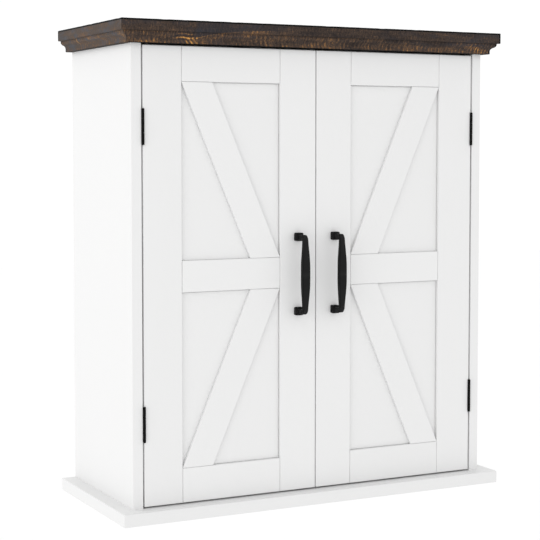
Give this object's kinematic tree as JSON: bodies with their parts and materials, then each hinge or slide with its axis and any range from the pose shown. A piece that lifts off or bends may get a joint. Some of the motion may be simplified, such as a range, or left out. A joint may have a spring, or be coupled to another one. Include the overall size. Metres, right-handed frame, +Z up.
{
  "type": "hanging wall cabinet",
  "caption": "Shallow white wall cabinet with inset cross-braced doors on butt hinges, black pull handles, inner shelves, an overhanging base board and a dark wood crown moulding.",
  "frame": {"origin": "on the wall plane, at the back of the cabinet, midway between its sides and at the middle of the hanging rail's height", "axes": "+X to the cabinet's right as one faces it, +Y back into the wall, +Z up"},
  "size_m": [0.551, 0.2374, 0.6175],
  "materials": {
    "white_paint": "satin white paint on medium-density fibreboard",
    "back_board": "matt white face on thin hardboard",
    "dark_wood": "rough-sawn, dark grey-brown stained wood",
    "black_iron": "matt black coat",
    "zinc_steel": "bright zinc plate",
    "catch_plastic": "white moulded plastic"
  },
  "bodies": {
    "case": {"base_board": "white_paint", "side_panel_left": "white_paint", "side_panel_right": "white_paint", "top_board": "white_paint", "hanging_rail": "white_paint", "lower_back_rail": "white_paint", "shelf_upper": "white_paint", "shelf_lower": "white_paint", "back_panel": "back_board", "crown_front": "dark_wood", "crown_left": "dark_wood", "crown_right": "dark_wood", "shelf_support_upper_left_front": "zinc_steel", "shelf_support_upper_left_rear": "zinc_steel", "shelf_support_upper_right_front": "zinc_steel", "shelf_support_upper_right_rear": "zinc_steel", "shelf_support_lower_left_front": "zinc_steel", "shelf_support_lower_left_rear": "zinc_steel", "shelf_support_lower_right_front": "zinc_steel", "shelf_support_lower_right_rear": "zinc_steel", "magnetic_catch_left": "catch_plastic", "magnetic_catch_right": "catch_plastic", "hinge_case_leaf_left_upper": "black_iron", "hinge_pin_left_upper": "black_iron", "hinge_case_leaf_left_lower": "black_iron", "hinge_pin_left_lower": "black_iron", "hinge_case_leaf_right_upper": "black_iron", "hinge_pin_right_upper": "black_iron", "hinge_case_leaf_right_lower": "black_iron", "hinge_pin_right_lower": "black_iron"},
    "left_door": {"left_door_hinge_stile": "white_paint", "left_door_lock_stile": "white_paint", "left_door_top_rail": "white_paint", "left_door_mid_rail": "white_paint", "left_door_bottom_rail": "white_paint", "left_door_panel": "white_paint", "left_door_brace_upper": "white_paint", "left_door_brace_lower": "white_paint", "left_door_handle": "black_iron", "left_door_hinge_leaf_upper": "black_iron", "left_door_hinge_leaf_lower": "black_iron", "left_door_handle_screw_upper": "zinc_steel", "left_door_handle_screw_lower": "zinc_steel", "left_door_strike_plate": "zinc_steel"},
    "right_door": {"right_door_hinge_stile": "white_paint", "right_door_lock_stile": "white_paint", "right_door_top_rail": "white_paint", "right_door_mid_rail": "white_paint", "right_door_bottom_rail": "white_paint", "right_door_panel": "white_paint", "right_door_brace_upper": "white_paint", "right_door_brace_lower": "white_paint", "right_door_handle": "black_iron", "right_door_hinge_leaf_upper": "black_iron", "right_door_hinge_leaf_lower": "black_iron", "right_door_handle_screw_upper": "zinc_steel", "right_door_handle_screw_lower": "zinc_steel", "right_door_strike_plate": "zinc_steel"}
  },
  "joints": [
    {"name": "left_door_hinge", "type": "hinge", "parent": "case", "child": "left_door", "pos_m": [-0.24105, -0.2132, -0.238], "axis": [0, 0, -1], "range_deg": [0, 170]},
    {"name": "right_door_hinge", "type": "hinge", "parent": "case", "child": "right_door", "pos_m": [0.24105, -0.2132, -0.238], "axis": [0, 0, 1], "range_deg": [0, 170]}
  ]
}
